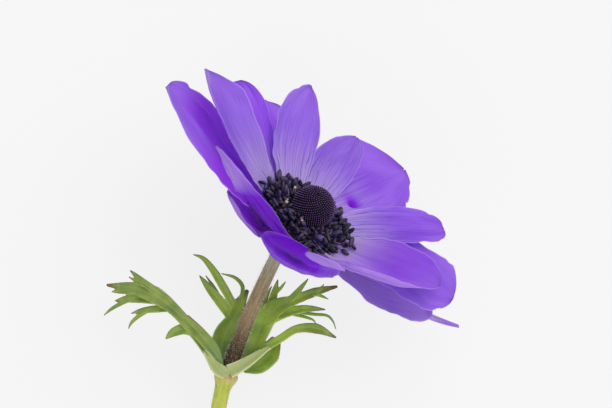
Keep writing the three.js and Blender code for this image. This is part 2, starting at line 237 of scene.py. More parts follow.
# The deep violets stand for painted shade, where a tepal lies in a crease or under another one or its outer
# face is lit only through the tissue. The darkest painted shade takes the outer face's vein colour, and the
# deep face violet also colours the fine silky streaks.
FACE, FACE_LIGHT, DEEP = rgb("9056DE"), rgb("A270EA"), rgb("9A20EA")
CLAW, VEIN = rgb("E2D0F4"), rgb("2C1474")
BACK, BACK_SHADE, BACK_VEIN_AND_SHADE = rgb("C49EEE"), rgb("7C06DC"), rgb("2A0068")


class Paint:
    """A material's nodes, with a short method for each kind that is used."""

    def __init__(self, name, **sockets):
        self.material = bpy.data.materials.new(name)
        self.material.use_nodes = True
        self.tree = self.material.node_tree
        self.shader = self.tree.nodes["Principled BSDF"]
        for socket, value in sockets.items():
            self.shader.inputs[socket.replace("_", " ")].default_value = value

    def node(self, kind, inputs, **settings):
        made = self.tree.nodes.new(kind)
        for setting, value in settings.items():
            setattr(made, setting, value)
        for socket, value in inputs.items():
            if isinstance(value, bpy.types.NodeSocket):
                self.tree.links.new(value, made.inputs[socket])
            else:
                made.inputs[socket].default_value = value
        return made

    def blade(self):
        """(along, across, face) of the blade attribute."""
        read = self.node("ShaderNodeAttribute", {}, attribute_name="blade")
        parts = self.node("ShaderNodeSeparateXYZ", {0: read.outputs["Vector"]})
        return parts.outputs[0], parts.outputs[1], parts.outputs[2]

    def place(self):
        return self.node("ShaderNodeTexCoord", {}).outputs["Object"]

    def math(self, operation, one, other=0.0):
        return self.node("ShaderNodeMath", {0: one, 1: other}, operation=operation).outputs[0]

    def spread(self, x, y, z=0.0):
        return self.node("ShaderNodeCombineXYZ", {0: x, 1: y, 2: z}).outputs[0]

    def noise(self, vector, scale=1.0, detail=2.0):
        made = self.node("ShaderNodeTexNoise", {"Vector": vector, "Scale": scale, "Detail": detail})
        return made.outputs["Fac"]

    def between(self, value, low, high, bottom=0.0, top=1.0):
        """Rises smoothly from bottom to top as value goes from low to high."""
        made = self.node(
            "ShaderNodeMapRange", {0: value, 1: low, 2: high, 3: bottom, 4: top},
            interpolation_type="SMOOTHSTEP")
        return made.outputs[0]

    def mix(self, share, one, other):
        made = self.node("ShaderNodeMix", {0: share, 6: one, 7: other}, data_type="RGBA")
        return made.outputs[2]

    def strands(self, along, across, length, width, seed, detail):
        """Noise drawn out along a blade."""
        return self.noise(self.spread(
            self.math("MULTIPLY", along, length), self.math("MULTIPLY", across, width), seed),
            1.0, detail)

    def veins(self, along, across, count, seed, width):
        """Thin lines that run along a blade, a little wavy, some of them fainter."""
        sway = self.math("MULTIPLY", self.strands(along, across, 2.2, 2.6, seed, 3.0), 3.0)
        phase = self.math("MULTIPLY", self.math("ADD", self.math("MULTIPLY", across, count), sway),
                          math.pi)
        off = self.math("ABSOLUTE", self.math("SINE", phase))
        line = self.between(off, 0.0, width, 1.0, 0.0)
        fainter = self.between(
            self.strands(along, across, 3.5, 14.0, seed + 3, 2.0), 0.3, 0.5, 0.3, 1.0)
        return self.math("MULTIPLY", line, fainter)

    def finish(self, colour, height=None, distance=0.1, through=0.0):
        """Ends the material; through is the share of light that passes to the other face."""
        self.tree.links.new(colour, self.shader.inputs["Base Color"])
        if height is not None:
            bumped = self.node(
                "ShaderNodeBump", {"Height": height, "Distance": distance * MM, "Strength": 1.0})
            self.tree.links.new(bumped.outputs[0], self.shader.inputs["Normal"])
        if through:
            tint = self.node("ShaderNodeGamma", {"Color": colour, "Gamma": 0.5}).outputs[0]
            passed = self.node("ShaderNodeBsdfTranslucent", {"Color": tint}).outputs[0]
            both = self.node(
                "ShaderNodeMixShader", {0: through, 1: self.shader.outputs[0], 2: passed})
            self.tree.links.new(
                both.outputs[0], self.tree.nodes["Material Output"].inputs["Surface"])
        return self.material


def tepal_paint(name, seed, veins):
    """Silky tissue: fine dark veins, a pale claw, a painted light line along the margin and a paler outer
    face.

    A per-point attribute says how deep the violet is, which is painted shade; below 0 it makes a face
    paler.
    """
    paint = Paint(
        name, Roughness=0.55, Sheen_Weight=0.08, Sheen_Roughness=0.4, Specular_IOR_Level=0.12)
    along, across, upper = paint.blade()
    # Per point: how deep the violet is, as painted shade, and below 0 how much paler the face is.
    shade_tone = paint.node("ShaderNodeAttribute", {}, attribute_name="shade_tone").outputs["Fac"]
    rim = paint.math("ABSOLUTE", across)
    fibre = paint.strands(along, across, 1.3, 15.0, seed, 2.0)
    fine = paint.strands(along, across, 2.0, 46.0, seed + 9, 2.0)
    cloud = paint.strands(along, across, 2.4, 1.6, seed + 5, 3.0)
    line = paint.veins(along, across, veins, seed + 17, 0.42)

    face = paint.mix(paint.between(cloud, 0.3, 0.7), FACE_LIGHT, FACE)
    reach = paint.math("ADD", along, paint.math("MULTIPLY", paint.math("SUBTRACT", fibre, 0.5), 0.35))
    clawed = paint.mix(paint.between(reach, 0.08, 0.7, 0.95, 0.0), face, CLAW)
    # Below 0 the face turns towards the claw's pale colour; on outer_6 this is painted light.
    eased = paint.mix(paint.math("MULTIPLY", shade_tone, -1.0), clawed, CLAW)
    # Painted shade: deep violet, then the darkest violet.
    face_shaded = paint.mix(paint.between(shade_tone, 1.0, 2.0), paint.mix(shade_tone, eased, DEEP), BACK_VEIN_AND_SHADE)
    silky = paint.mix(paint.between(fine, 0.4, 0.75, 0.0, 0.14), face_shaded, DEEP)
    strength = paint.between(along, 0.1, 0.7, 1.0, 0.2)
    veined = paint.mix(paint.math("MULTIPLY", line, strength), silky, VEIN)
    # A painted light line along the margin, for light shining through the thin edge.
    rim_lit = paint.mix(paint.between(rim, 0.95, 1.0, 0.0, 0.35), veined, CLAW)

    # The outer face: its own pale colour, deep violet where shade is painted on it, then the darkest.
    outer = paint.mix(paint.between(shade_tone, 1.0, 2.0), paint.mix(shade_tone, BACK, BACK_SHADE), BACK_VEIN_AND_SHADE)
    striped = paint.mix(paint.math("MULTIPLY", line, paint.between(along, 0.3, 0.9, 0.7, 0.2)),
                        outer, BACK_VEIN_AND_SHADE)
    # A painted light line along the outer face's margin, faint where the painted shade is deep.
    back_rim_light = paint.math("MULTIPLY", paint.between(rim, 0.86, 1.0), paint.between(shade_tone, 0.2, 1.0, 0.5, 0.1))
    back_rim_lit = paint.mix(back_rim_light, striped, BACK)
    colour = paint.mix(paint.between(upper, 0.3, 0.7), back_rim_lit, rim_lit)
    height = paint.math("SUBTRACT", paint.math("MULTIPLY", fine, 0.5), line)
    return paint.finish(colour, height, 0.05, 0.5)


# ---- Tepals ----------------------------------------------------------------------------------

# name: azimuth, length, width, rise at the root, rise at the tip, height of the root,
# side turn, roll, cup, where it is widest, how blunt its tip is, half-width of its claw
TEPALS = {
    "outer_1": (193, 41.5, 27.6, 15, 20, -0.1, -8, 12, 13, 0.62, 0.5, 1.8),
    "outer_2": (159.1, 34.1, 10.6, 17, 9.9, 1, -21.6, -15.6, 20.5, 0.77, 0.56, 1.8),
    "outer_3": (125.5, 38.6, 15.9, 15, -13.5, -0.8, -1.6, -6.7, 13.7, 0.67, 0.41, 1.9),
    "outer_4": (86.5, 38.2, 23.6, 16, 0, 0.5, -24, -4, 9, 0.59, 0.64, 1.8),
    "outer_5": (16.1, 35.8, 27.4, 23.3, 0.6, 0.4, -8.2, -10.9, 8.2, 0.84, 0.52, 1.8),
    "outer_6": (18.2, 34.6, 26.2, 7.4, -16.3, -0.6, 32.6, 7.1, 7.1, 0.53, 0.3, 2),
    "outer_7": (-132.1, 19.2, 12.7, 2.7, 39.4, -2.2, -23.6, 0, 29.5, 0.58, 0.39, 1.6),
    "inner_1": (192.2, 38.5, 21.7, 17.3, 29.7, 2, -36.5, 15.7, 50, 0.8, 0.94, 1.7),
    "inner_2": (137, 32, 12.4, 14, 36, 2.4, -26, -2, 20, 0.64, 0.76, 1.8),
    "inner_3": (97.4, 31.4, 10.7, 20.3, 2.9, 1.4, -3.9, -26.8, 23, 0.57, 0.61, 1.6),
    "inner_4": (42, 34.2, 10.5, 22, 4, 1.3, 5, 10, 28, 0.59, 0.36, 1.7),
    "inner_5": (-12.6, 32.8, 27.4, 17.4, 31, 2.1, 16, -6, 19.5, 0.65, 0.61, 1.8),
    "inner_6": (-73.5, 33.3, 20.9, 2.6, 72.3, -2.3, -8.7, 6, 31.9, 0.8, 0.64, 2.3),
    "inner_7": (-86.6, 40.3, 12.4, 26.5, 68.2, -1.1, -98.2, 9.1, 5.8, 0.45, 0.98, 2.9),
}
LEFT_HALVES = {"inner_1": (25, 0.71)}  # a left half's own cup, and its share of the width
# Small nicks in a margin: its side, the place along it and the share of the half-width lost
NICKS = {
    "outer_5": [(-1, 0.80, 0.05), (-1, 0.93, 0.12), (1, 0.88, 0.07)],
    "outer_4": [(-1, 0.80, 0.06), (1, 0.62, 0.04), (-1, 0.93, 0.10)],
    "outer_6": [(1, 0.84, 0.05), (1, 0.93, 0.10)],
    "inner_4": [(1, 0.90, 0.07), (-1, 0.94, 0.09)],
    "inner_2": [(1, 0.93, 0.12)],
    "outer_1": [(1, 0.90, 0.06), (-1, 0.86, 0.05)],
}
# How much paler than the rest a tepal's face is: inner_1 to inner_3 by their own colour, outer_6 as painted
# light where the tepals above it shade it
PALER = {"inner_1": 0.1, "inner_2": 0.12, "inner_3": 0.15, "outer_6": 0.2}
# outer_4's pocket is a dent in the blade with painted shade in it
POCKET = (0.42, -0.38)                 # where outer_4 has a small dark pocket: along, across
POCKET_SHORTER = 2.6                   # how much shorter the pocket is along than across
ROWS, COLUMNS = 91, 49                 # of points on each face, without the root's row
TAIL_ROW = 81                          # the row that outer_6's torn strip leaves from
TAIL_SIDE, TAIL_LENGTH = -8, 11
ROOT = 0.8                             # how far a tepal's root reaches into the receptacle


def tepal_half_width(width, widest, blunt, claw):
    """A tepal's outline: its half-width grows from the claw and rounds off to a narrow tip."""
    most = width / 2

    def half(u):
        if u < widest:
            return claw + (most - claw) * math.sin(u / widest * math.pi / 2) ** 1.2
        past = (u - widest) / (1 - widest)
        return max(0.3, most * max(0, 1 - past ** 2) ** blunt)
    return half


def tepal(name):
    """One tepal's blade, with shallow pleats, a waved margin and a rolled edge where it has one."""
    azimuth, length, width, rise, tip_rise, height, yaw, roll, cup, widest, blunt, claw = (
        TEPALS[name])
    start = (
        Matrix.Rotation(math.radians(azimuth), 4, "Z")
        @ Matrix.Translation((RECEPTACLE_RADIUS + 0.4, 0, height))
        @ Matrix.Rotation(-math.radians(rise), 4, "Y"))
    root = (start @ Matrix.Translation((-ROOT, 0, 0)), 0.0)
    frames = [root, *walk(start, length, ROWS - 1, tip_rise - rise, yaw, roll)]
    across = np.sin(np.linspace(-1, 1, COLUMNS) * math.pi / 2)
    plain = tepal_half_width(width, widest, blunt, claw)

    def half(u, v):
        sway = 0.018 * wobble(name + "margin", 2.2 * u, 0.5 * np.sign(v))
        nick = sum(deep * bump(u, place, 0.018) * (side * v > 0)
                   for side, place, deep in NICKS.get(name, []))
        return plain(u) * (1 + float(smoothstep(0.15, 0.5, u)) * sway - nick * np.abs(v) ** 3)

    def shape(u):
        if name != "inner_5":
            return section(across, cup, left=LEFT_HALVES.get(name))
        # One margin of inner_5 curls over along most of its length.
        fade = min(max(min((u - 0.25) / 0.15, (0.97 - u) / 0.3), 0), 1)
        return section(across, cup, (-1, 0.78, 95 * fade))

    def lift(u, v):
        grown = float(smoothstep(0.05, 0.35, u))
        pleats = 0.05 * np.cos(v * 19 + 2 * wobble(name + "pleat", u)) * (1 - v ** 4)
        swell = 0.30 * wobble(name + "swell", 1.3 * u, 0.8 * v)
        ruffle = 0.45 * np.abs(v) ** 5 * wobble(name + "ruffle", 2.6 * u, 0.7 * np.sign(v))
        return grown * (pleats + swell + ruffle) + folds(name, u, v)

    def thickness(u, v):
        return RIM + (SHEET - RIM) * (1 - np.abs(v) ** 6) * float(1 - smoothstep(0.9, 1.0, u))

    sheet = blade(frames, across, shape, half, thickness, lift)
    return join([sheet, tail(frames)]) if name == "outer_6" else sheet


def folds(name, u, v):
    """How far a tepal's own creases, pocket and lip stand off it."""
    if name == "outer_1":
        line = -0.3 - 0.3 * float(smoothstep(0.45, 0.75, u))
        return 0.7 * float(smoothstep(0.15, 0.35, u) * smoothstep(0.9, 0.7, u)) * bump(v, line, 0.08)
    if name == "outer_4":
        return -1.6 * bump(np.hypot((u - POCKET[0]) * POCKET_SHORTER, v - POCKET[1]), 0, 0.1)
    if name == "inner_6":
        groove = float(bump(u, 0.77, 0.05)) * smoothstep(-0.9, -0.3, v)
        return 0.6 * groove - 0.8 * lip_share(u, v)
    return 0


def tail(frames):
    """The narrow strip that a torn margin left at one tepal's tip."""
    start = (
        frames[TAIL_ROW][0] @ Matrix.Translation((0, TAIL_SIDE, 0))
        @ Matrix.Rotation(math.radians(-4), 4, "Z"))
    across = np.linspace(-1, 1, 9)
    strip = walk(start, TAIL_LENGTH, 30, 10)
    return blade(
        strip, across, lambda u: section(across, 10), lambda u, v: 1.0 - 0.55 * u ** 2,
        lambda u, v: RIM + 0.2 * (1 - v ** 4))


def lip_share(along, across):
    """How far a point of inner_6 lies on the lip that its margin turns outwards."""
    return smoothstep(0.93, 0.97, along + 0.12 * across) * smoothstep(-0.15, 0.05, across)


def shade_tone(name, marks):
    """How deep the violet is at each point of a tepal, as painted shade: below 0 paler, 1 deep, 2 darkest.
    """
    along, across, upper = marks.T
    # A face has no painted shade unless set below, only the paleness listed above; an outer face gets
    # painted shade towards the base.
    face, back = 0 * along - PALER.get(name, 0), 0.75 * smoothstep(0.95, 0.35, along)
    if name == "outer_1":
        # Painted shade on the half past the crease, which lies under inner_1, and towards the base.
        shade_past_crease = 0.9 * smoothstep(0.05, -0.12, across) * smoothstep(0.98, 0.7, along)
        face = np.maximum(shade_past_crease, 0.95 * smoothstep(0.8, 0.45, along))
    elif name in ("outer_2", "outer_3", "inner_5"):
        # Painted shade across the middle of these tepals.
        face = 0.35 * smoothstep(0.2, 0.5, along) * smoothstep(1.2, 0.7, along)
    elif name == "outer_4":
        # Painted shade in outer_4's pocket and just beside it.
        away, aside = (along - POCKET[0]) * POCKET_SHORTER, across - POCKET[1]
        face = 1.3 * bump(np.hypot(away, aside), 0, 0.11)
        face = face + 0.55 * bump(np.hypot(away, (aside - 0.16) * 0.6), 0, 0.12)
    elif name == "outer_7":
        # Painted shade on outer_7: less along one lit margin, most towards the other margin near the base,
        # next to inner_7.
        face = 0.8 - 0.4 * smoothstep(0.65, 0.9, across)
        face = face + 0.7 * smoothstep(0.6, 0.1, across) * smoothstep(0.75, 0.3, along)
    if name == "inner_5":
        # Little painted shade on inner_5's outer face.
        back = 0.1 + 0 * along
    elif name == "inner_6":
        # Painted shade on inner_6's outer face: deeper towards the tip, darkest in the groove by the lip,
        # almost none on the lip and less along one margin near the base.
        back = 0.75 + 0.55 * smoothstep(0.62, 0.74, along) * smoothstep(0.8, -0.1, across)
        back = back + 0.5 * bump(along, 0.77, 0.06) * bump(across, -0.1, 0.4)
        back = back * (1 - 0.95 * lip_share(along, across))
        back = back * (1 - 0.6 * smoothstep(-0.55, -0.9, across) * smoothstep(0.65, 0.5, along))
    elif name == "inner_7":
        # Painted shade on inner_7's outer face: deep towards the base, less on one side towards the tip,
        # darkest on that side nearer the base.
        back = 0.1 + 1.1 * smoothstep(0.84, 0.60, along)
        back = back - 0.35 * smoothstep(0.3, -0.3, across) * smoothstep(0.64, 0.76, along)
        back = back + 0.6 * smoothstep(0.2, -0.5, across) * smoothstep(0.7, 0.5, along)
    return np.where(upper > 0.5, face, back)


def raised(points):
    """A blade whose low stretches bend up to lie on the surface, both faces alike."""
    faces = points.reshape(2, -1, 3) if len(points) == 2 * (ROWS + 1) * COLUMNS else points[None]
    lowest = faces[:, :, 2].min(axis=0) - SURFACE
    ease = 0.5
    lift = (np.sqrt(lowest ** 2 + ease ** 2) - lowest) / 2 * smoothstep(12, 2, lowest)
    faces[:, :, 2] += lift
    return faces.reshape(-1, 3)


def add_tepals():
    for index, name in enumerate(TEPALS):
        points, faces, marks = tepal(name)
        width = TEPALS[name][2]
        paint = tepal_paint(f"tepal {name}", index * 3.7, width * VEINS_PER_MM)
        node = f"tepal_{name}"
        points = raised(moved(points, FLOWER))
        piece = mesh_piece(f"{node}.fine", points, faces, marks, paint)
        # Per point: how deep the violet is, as painted shade, and how much paler a face is.
        layer = piece.data.attributes.new("shade_tone", "FLOAT", "POINT")
        layer.data.foreach_set("value", shade_tone(name, marks).astype(np.float32))
        dress(piece, node)


# ---- Pistil and stamens ----------------------------------------------------------------------

CARPELS = 1000
RING_STAMENS, LOW_STAMENS, FRONT_STAMENS = 210, 110, 70
LAST_STAMENS = (-95, -89, -83)         # where three more close a gap at the front, in degrees


def tube(path, radii, sides):
    """A closed tube round a path: (points, faces)."""
    path = [Vector(point) for point in path]
    points, faces = [], []
    tangent = (path[1] - path[0]).normalized()
    normal = tangent.orthogonal().normalized()
    for index, centre in enumerate(path):
        ahead = path[min(index + 1, len(path) - 1)] - path[max(index - 1, 0)]
        tangent = ahead.normalized()
        normal = (normal - tangent * normal.dot(tangent)).normalized()
        other = tangent.cross(normal)
        for side in range(sides):
            turn = 2 * math.pi * side / sides
            points.append(centre + (normal * math.cos(turn) + other * math.sin(turn)) * radii[index])
    for row in range(len(path) - 1):
        for side in range(sides):
            a, b = row * sides + side, row * sides + (side + 1) % sides
            faces.append((a, b, b + sides, a + sides))
    last = (len(path) - 1) * sides
    faces.append(tuple(reversed(range(sides))))
    faces.append(tuple(range(last, last + sides)))
    return np.array([tuple(point) for point in points]), faces


def marked(points, faces, along, across=0.0, upper=0.0):
    """(points, faces, blade) from one value for every point, or one for each."""
    marks = np.zeros((len(points), 3))
    marks[:, 0], marks[:, 1], marks[:, 2] = along, across, upper
    return points, faces, marks


def pistil():
    """A dome closely set with small carpels, each a bump that ends in a short style."""
    sides, parts = 6, []
    core = DOME_RADIUS - 0.1
    rings = [(core * math.sin(turn), DOME_HEIGHT + core * math.cos(turn))
             for turn in np.linspace(0.05, 2.55, 28)]
    points, faces = tube([(0, 0, z) for _, z in rings], [r for r, _ in rings], 48)
    parts.append(marked(points, faces, 0.0))
    draw = random.Random(3)
    for index in range(CARPELS):
        rise = 1 - (index + 0.5) / CARPELS * 1.83
        turn = index * GOLDEN_ANGLE
        flat = math.sqrt(1 - rise * rise)
        out = Vector((flat * math.cos(turn), flat * math.sin(turn), rise))
        centre = Vector((0, 0, DOME_HEIGHT)) + out * core
        lean = Vector((draw.uniform(-1, 1), draw.uniform(-1, 1), draw.uniform(-1, 1))) * 0.05
        heights, radii = (0.0, 0.13, 0.26, 0.40), (0.23, 0.19, 0.11, 0.04)
        points, faces = tube([centre + (out + lean * step) * step for step in heights], radii, sides)
        parts.append(marked(points, faces, np.repeat([0, 0.35, 0.7, 1], sides)))
    return join(parts)


def pistil_paint():
    paint = Paint("pistil", Roughness=0.6, Specular_IOR_Level=0.15, Sheen_Weight=0.06,
                  Sheen_Roughness=0.35, Sheen_Tint=rgb("B58AC8"))
    along, _, _ = paint.blade()
    speck = paint.noise(paint.place(), 900.0, 2.0)
    # The carpels' tips are painted a lighter purple: a painted highlight on each small bump.
    tipped = paint.mix(paint.between(along, 0.55, 1.0), rgb("050110"), rgb("8A6AA4"))
    return paint.finish(paint.mix(paint.between(speck, 0.55, 0.8), tipped, rgb("140820")))


def anther(draw, foot, ahead, side):
    """A plump two-lobed anther on the end of a filament."""
    rows, sides = 11, 12
    length, wide = draw.uniform(1.8, 2.8), draw.uniform(0.48, 0.70)
    steps = np.linspace(0, 1, rows)
    bent = side * draw.uniform(-0.25, 0.25)
    spine = [foot + ahead * (length * (step - 0.3)) + bent * step * step for step in steps]
    radii = [wide * max(0.15, math.sin(math.pi * (0.07 + 0.86 * step)) ** 0.5) for step in steps]
    points, faces = tube(spine, radii, sides)
    ring = np.tile(np.arange(sides), rows)
    centres = np.repeat(np.array([tuple(point) for point in spine]), sides, axis=0)
    groove = 1 - 0.34 * np.cos(2 * math.pi * ring / sides) ** 6
    return marked(centres + (points - centres) * groove[:, None], faces, 1.0, draw.uniform(0, 1))


def stamen(draw, turn, reach, rise):
    """A filament that curves out from under the pistil, and the anther at its end."""
    plane = Vector((math.cos(turn), math.sin(turn), 0))
    side = Vector((-math.sin(turn), math.cos(turn), 0))
    root = plane * 2.6 + Vector((0, 0, 3.1))
    bend = plane * (0.58 * reach) + Vector((0, 0, 0.2 * rise + 3.0))
    end = plane * reach + Vector((0, 0, rise)) + side * draw.uniform(-0.6, 0.6)
    path = [root.lerp(bend, t).lerp(bend.lerp(end, t), t) for t in np.linspace(0.02, 1, 9)]
    points, faces = tube(path, np.linspace(0.2, 0.13, 9), 6)
    twist = Vector((draw.uniform(-1, 1), draw.uniform(-1, 1), draw.uniform(-1, 1))) * 1.1
    ahead = ((path[-1] - path[-3]).normalized() + twist).normalized()
    return [marked(points, faces, 0.0, draw.uniform(0, 1)), anther(draw, path[-1], ahead, side)]


def crumb(draw, place, size):
    """A small lump of pollen."""
    rows, sides = 6, 8
    steps = np.linspace(0.05, 0.95, rows)
    out = Vector((draw.uniform(-1, 1), draw.uniform(-1, 1), 1)).normalized()
    spine = [place + out * size * 1.4 * (step - 0.5) for step in steps]
    radii = [size * math.sin(math.pi * step) * draw.uniform(0.75, 1.1) for step in steps]
    points, faces = tube(spine, radii, sides)
    return marked(points, faces, 1.0, draw.uniform(0, 1), 0.5)


def staminode(turn, reach, rise, size):
    """A stamen that turned into a small cupped petal, violet with a paler top."""
    start = (
        Matrix.Rotation(turn, 4, "Z") @ Matrix.Translation((reach, 0, rise))
        @ Matrix.Rotation(math.radians(-35), 4, "Y"))
    across = np.linspace(-1, 1, 13)
    points, faces, marks = blade(
        walk(start, 2.0 * size, 16, 60), across, lambda u: section(across, 55),
        lambda u, v: size * (0.25 + 0.75 * math.sin(math.pi * min(0.06 + u * 0.8, 0.9))),
        lambda u, v: 0.22 - 0.1 * v ** 2)
    return points, faces, np.column_stack([1 + 0 * marks[:, 0], marks[:, 0], 1 + 0 * marks[:, 0]])


# Where pollen lies and where the petal-like stamen stands: turn (degrees), reach, rise
POLLEN = [(-179, 5.8, 8.9), (172, 6.0, 8.4), (-137, 7.6, 8.6), (-130, 8.3, 8.7), (-93, 8.0, 8.9),
          (-90, 8.6, 9.0), (105, 3.2, 12.2)]
STAMINODE = (-55, 9.4, 7.4, 0.85)


def stamens():
    """The receptacle, and stamens in rings by the golden angle, shorter behind the pistil.

    Low ones fill the rings from inside and close the side where the flower leans over.
    """
    draw = random.Random(11)
    outline = [(1.3, -2.8), (1.45, -2.6), (1.75, -2.3), (2.5, -1.6), (3.15, -0.9), (3.25, 1.0),
               (3.2, 2.8), (2.9, 3.4), (0.3, 3.6)]
    points, faces = tube([(0, 0, z) for _, z in outline], [r for r, _ in outline], 32)
    parts = [marked(points, faces, 0.0, 0.0, -1.0)]
    for index in range(RING_STAMENS):
        share = (index + 0.5) / RING_STAMENS
        turn = index * GOLDEN_ANGLE + draw.uniform(-0.08, 0.08)
        behind = max(0.0, math.sin(turn - 0.15)) ** 0.7
        low = 1.0 if index % 3 == 0 else 0.0
        reach = (7.2 + 5.2 * share ** 0.75) * (1 - 0.27 * behind) * (1 - 0.16 * low)
        rise = 7.1 - 1.8 * (share - 0.5) - 0.8 * behind - 1.5 * low + draw.uniform(-0.7, 0.7)
        parts += stamen(draw, turn, reach, rise)
    for index in range(LOW_STAMENS):
        turn = index * GOLDEN_ANGLE + draw.uniform(-0.3, 0.3)
        parts += stamen(draw, turn, 4.6 + 3.4 * index / LOW_STAMENS, draw.uniform(5.0, 6.2))
    for index in range(FRONT_STAMENS):
        turn = math.radians(draw.uniform(-140, -50))
        parts += stamen(draw, turn, 7.2 + 4.6 * index / FRONT_STAMENS, draw.uniform(3.2, 5.4))
    for turn in LAST_STAMENS:
        parts += stamen(draw, math.radians(turn), 8.2, 4.4)
    for turn, reach, rise in POLLEN:
        angle = math.radians(turn)
        place = Vector((reach * math.cos(angle), reach * math.sin(angle), rise))
        parts.append(crumb(draw, place, draw.uniform(0.24, 0.5)))
    turn, reach, rise, size = STAMINODE
    parts.append(staminode(math.radians(turn), reach, rise, size))
    return join(parts)


def stamen_paint():
    """Dark anthers. The third blade value is -1 on the receptacle, 0.5 on pollen, 1 on a petal."""
    paint = Paint("stamens", Roughness=0.45, Specular_IOR_Level=0.45)
    along, across, kind = paint.blade()
    mealy = paint.noise(paint.place(), 1800.0, 2.0)
    plain = paint.mix(paint.between(across, 0.2, 1.0), rgb("0E081C"), rgb("382C50"))
    dusted = paint.mix(paint.between(mealy, 0.55, 0.8, 0.0, 0.35), plain, rgb("5E5478"))
    filament = paint.mix(across, rgb("36286A"), rgb("8A7AB4"))
    stamen_colour = paint.mix(along, filament, dusted)
    pollen = paint.mix(mealy, rgb("8A6A58"), rgb("E0BE9A"))
    petal = paint.mix(across, rgb("C9B8DC"), rgb("7A48C8"))
    grown = paint.mix(paint.between(kind, -0.7, -0.3), rgb("8E8A72"), stamen_colour)
    powdered = paint.mix(paint.between(kind, 0.2, 0.4), grown, pollen)
    return paint.finish(paint.mix(paint.between(kind, 0.7, 0.9), powdered, petal), mealy, 0.05)


def add_centre():
    points, faces, marks = pistil()
    dress(mesh_piece("pistil.fine", moved(points, FLOWER), faces, marks, pistil_paint()),
          "pistil")
    points, faces, marks = stamens()
    dress(mesh_piece("stamens.fine", moved(points, FLOWER), faces, marks, stamen_paint()),
          "receptacle_stamens")


# ---- Stem ------------------------------------------------------------------------------------

# Its route from under the flower to the cut end, from the flower's base, heights above ground
STEM_ROUTE = [
    (-4.1, -6.3, 24.4), (-6, -10.1, 22.2), (-9.6, -18, 19.0), (-12.7, -25.9, 16.6),
    (-15.1, -32.2, 14.8), (-17, -40, 12.6), (-19.8, -63, 7.4), (-22.6, -84, 3.7), (-25, -103.5, 1.6),
]
STEM_RADIUS = 1.75
NODE_SHARE = 0.327                    # where the whorl of bracts grows, along the stem
COLLAR_SHARE = NODE_SHARE + 0.012     # the stem swells where the bracts' bases clasp it
HAIRS = 1800


def blend(one, other, low, high, t):
    return ((high - t) * one + (t - low) * other) / (high - low)


def spline(points, count):
    """Evenly spaced points on a centripetal Catmull-Rom curve through the given ones."""
    points = [np.array(point, float) for point in points]
    points = [2 * points[0] - points[1], *points, 2 * points[-1] - points[-2]]
    dense = []
    for a, b, c, d in zip(points, points[1:], points[2:], points[3:]):
        knots = np.cumsum([0] + [math.sqrt(np.linalg.norm(q - p)) for p, q in ((a, b), (b, c), (c, d))])
        for t in np.linspace(knots[1], knots[2], 24, endpoint=False):
            one = blend(a, b, knots[0], knots[1], t)
            two = blend(b, c, knots[1], knots[2], t)
            three = blend(c, d, knots[2], knots[3], t)
            four = blend(one, two, knots[0], knots[2], t)
            five = blend(two, three, knots[1], knots[3], t)
            dense.append(blend(four, five, knots[1], knots[2], t))
    dense = np.array([*dense, points[-2]])
    reached = np.concatenate([[0], np.cumsum(np.linalg.norm(np.diff(dense, axis=0), axis=1))])
    wanted = np.linspace(0, reached[-1], count)
    return np.stack([np.interp(wanted, reached, dense[:, axis]) for axis in range(3)], 1)


def stem_points(count):
    top = FLOWER @ Vector((0, 0, -2.5))
    ground = Vector((BASE.x, BASE.y, 0))
    return spline([top, *(ground + Vector(point) for point in STEM_ROUTE)], count)


def hairs(path, radii):
    """Short pale hairs, thickest between the flower and the bracts."""
    draw = random.Random(7)
    parts = []
    for _ in range(HAIRS):
        share = draw.uniform(0.01, NODE_SHARE) if draw.random() < 0.8 else draw.uniform(0.35, 0.75)
        index = int(share * (len(path) - 1))
        ahead = Vector(path[index + 1] - path[index]).normalized()
        normal = ahead.orthogonal().normalized()
        out = Matrix.Rotation(draw.uniform(0, 2 * math.pi), 3, ahead) @ normal
        foot = Vector(path[index]) + out * (radii[index] - 0.04)
        tip = foot + (out + ahead * draw.uniform(-0.9, 0.9)) * draw.uniform(0.25, 0.55)
        points, faces = tube([foot, tip], [0.03, 0.01], 3)
        parts.append(marked(points, faces, share, 0.0, 1.0))
    return parts


def stem():
    rows, sides = 260, 28
    path = stem_points(rows)
    share = np.linspace(0, 1, rows)
    swelling = bump(share, COLLAR_SHARE, np.where(share < COLLAR_SHARE, 0.011, 0.017))
    slender = 0.3 * smoothstep(NODE_SHARE, 0.02, share)
    radii = STEM_RADIUS * (1 + 0.02 * np.sin(share * 23)) - slender + swelling
    points, faces = tube(path, radii, sides)
    skin = marked(points, faces, np.repeat(share, sides), np.tile(np.arange(sides) / sides, rows))
    return join([skin, *hairs(path, radii)])


